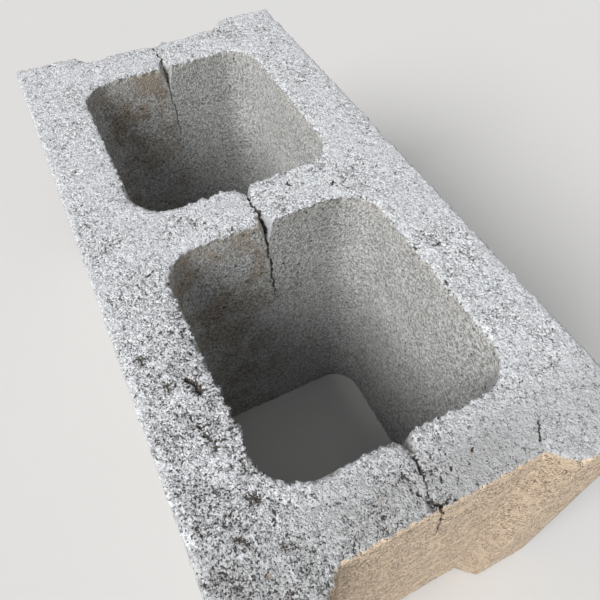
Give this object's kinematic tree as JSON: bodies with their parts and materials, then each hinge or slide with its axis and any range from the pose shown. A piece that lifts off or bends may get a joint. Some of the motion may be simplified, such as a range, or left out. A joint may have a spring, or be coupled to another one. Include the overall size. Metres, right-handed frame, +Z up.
{
  "type": "hollow concrete block",
  "caption": "Hollow concrete masonry block with tapered through cores, recessed ends with flared ears, and short V-notches in the cores' top rims, in the middle of each cross wall.",
  "frame": {"origin": "middle of the underside, on the floor that the block stands on", "axes": "+X along the block's length, +Y across its width, +Z up, with the wide ends of the cores at the top"},
  "size_m": [0.39, 0.19, 0.19],
  "materials": {
    "concrete": "open grained moulded concrete, light grey and speckled, with sand-coloured dust on the ends"
  },
  "bodies": {
    "root": {"hollow_block": "concrete"}
  },
  "joints": []
}
